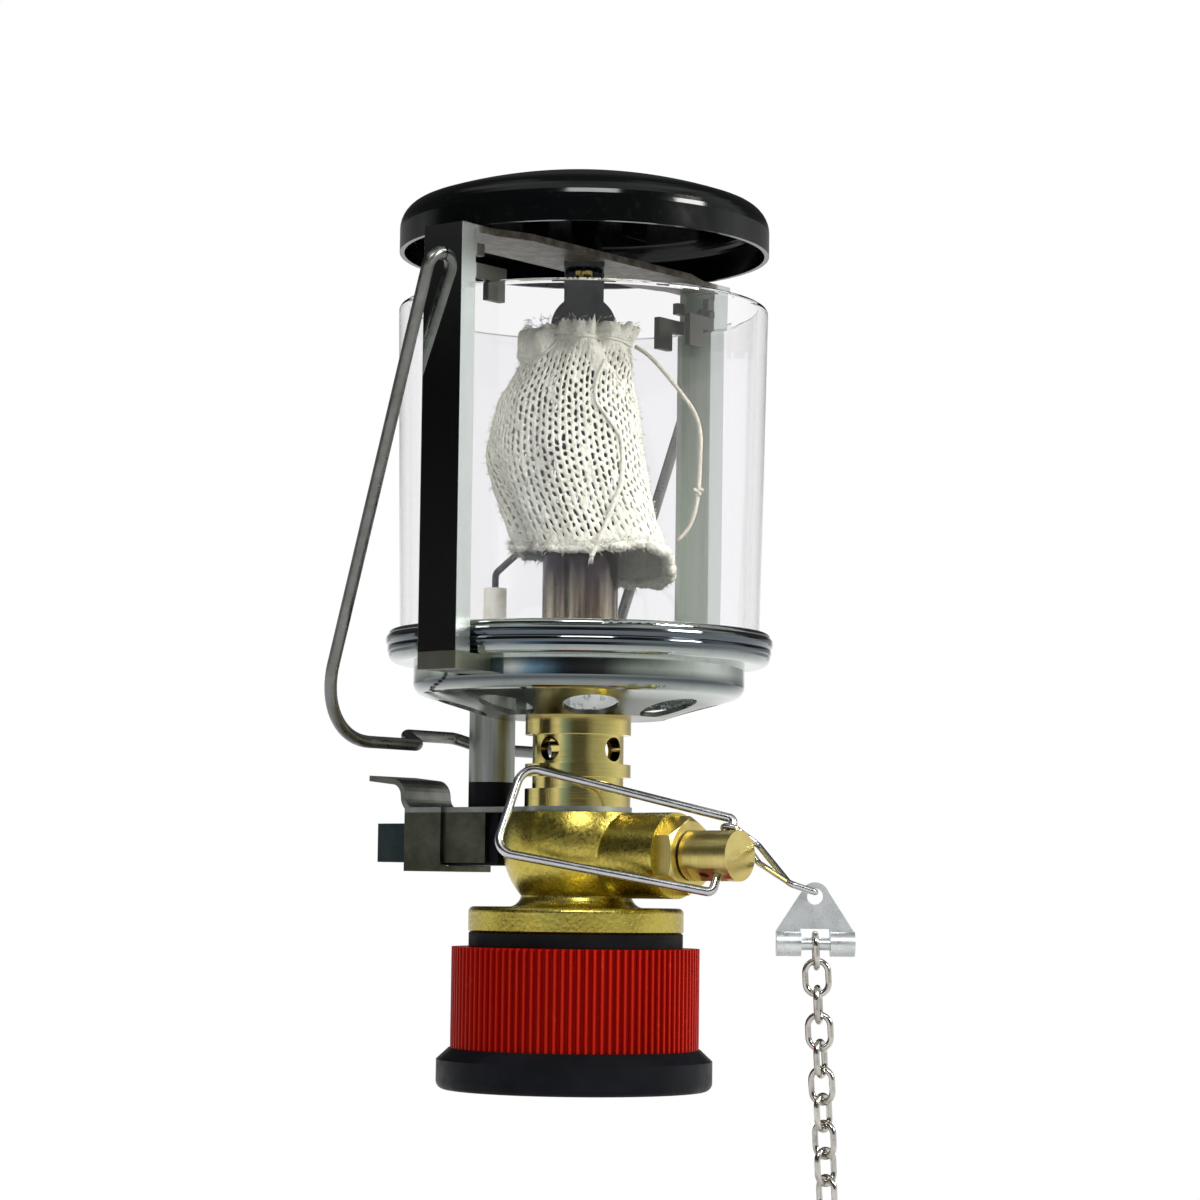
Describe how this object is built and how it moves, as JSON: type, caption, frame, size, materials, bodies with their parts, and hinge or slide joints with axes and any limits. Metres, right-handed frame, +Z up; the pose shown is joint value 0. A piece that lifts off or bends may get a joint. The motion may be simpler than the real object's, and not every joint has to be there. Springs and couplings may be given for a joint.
{
  "type": "butane lantern",
  "caption": "Small cartridge-fed gas lantern: knurled coupling, brass valve with folding wire key and chain, piezo igniter, mantle in a glass globe, channel frame, bail and hood.",
  "frame": {"origin": "centre of the foot ring's underside, on the axis of the cartridge recess", "axes": "+Z up along the lantern's axis, +X along the valve spindle, frame posts on -Y and +Y"},
  "size_m": [0.098, 0.0814, 0.1851],
  "materials": {
    "black_plastic": "satin",
    "red_anodised": "satin anodised",
    "turned_brass": "turned",
    "cast_brass": "cast",
    "black_rubber": "matte",
    "bright_plate": "bright plated",
    "dark_steel": "dark",
    "steel_wire": "polished",
    "bail_steel": "dull",
    "blue_grey_plastic": "satin",
    "satin_grey": "satin",
    "ceramic": "glazed",
    "burner_steel": "heat tinted",
    "mantle_cloth": "knitted",
    "clear_glass": "clear",
    "black_enamel": "gloss"
  },
  "bodies": {
    "lantern": {"flange_washer": "black_rubber", "valve_body": "cast_brass", "inlet_oring": "black_rubber", "depressor_pin": "turned_brass", "retaining_clip": "steel_wire", "gland_nut": "turned_brass", "spindle_oring": "black_rubber", "gas_jet": "turned_brass", "neck": "turned_brass", "igniter_bracket": "dark_steel", "piezo_unit": "black_plastic", "igniter_sleeve": "black_plastic", "igniter_tube": "satin_grey", "ignition_lead": "black_plastic", "ceramic_insulator": "ceramic", "electrode": "dark_steel", "pan": "bright_plate", "burner_nut": "steel_wire", "burner_tube": "burner_steel", "burner_gauze": "burner_steel", "mantle": "mantle_cloth", "mantle_holder": "dark_steel", "mantle_string": "mantle_cloth", "glass_globe": "clear_glass", "frame": "bright_plate", "cap_spacer": "black_enamel", "cap_stud": "turned_brass", "cap_spider": "black_enamel", "star_washer": "black_enamel", "hood": "black_enamel"},
    "coupling": {"foot_ring": "black_plastic", "grip_ring": "red_anodised", "thread_hub": "turned_brass"},
    "spindle": {"valve_spindle": "turned_brass", "chain_link_wire": "steel_wire"},
    "key": {"valve_key": "steel_wire"},
    "plate": {"chain_plate": "steel_wire", "chain_pin": "steel_wire"},
    "chain": {"chain": "steel_wire", "chain_hook": "steel_wire"},
    "button": {"piezo_button": "blue_grey_plastic"},
    "bail": {"bail": "bail_steel"}
  },
  "joints": [
    {"name": "coupling_turn", "type": "hinge", "parent": "lantern", "child": "coupling", "pos_m": [0, 0, 0.0154], "axis": [0, 0, 1], "continuous": true},
    {"name": "valve_turn", "type": "hinge", "parent": "lantern", "child": "spindle", "pos_m": [0.02, 0, 0.0395], "axis": [1, 0, 0], "range_deg": [0, 22]},
    {"name": "key_fold", "type": "hinge", "parent": "spindle", "child": "key", "pos_m": [0.031, 0, 0.0395], "axis": [0, 0.4384, 0.8988], "range_deg": [0, 110]},
    {"name": "plate_swing", "type": "hinge", "parent": "spindle", "child": "plate", "pos_m": [0.048, 0.002, 0.0337], "axis": [0.6293, -0.7771, 0], "range_deg": [-30, 30]},
    {"name": "chain_swing", "type": "hinge", "parent": "plate", "child": "chain", "pos_m": [0.04904, 0.00072, 0.0254], "axis": [0.7771, 0.6293, 0], "range_deg": [-45, 45]},
    {"name": "igniter_press", "type": "slide", "parent": "lantern", "child": "button", "axis": [1, 0, 0], "range_m": [0, 0.004], "stiffness_N_per_m": 1500},
    {"name": "bail_swing", "type": "hinge", "parent": "lantern", "child": "bail", "pos_m": [0, 0, 0.1375], "axis": [0, 1, 0], "range_deg": [0, 300]}
  ]
}
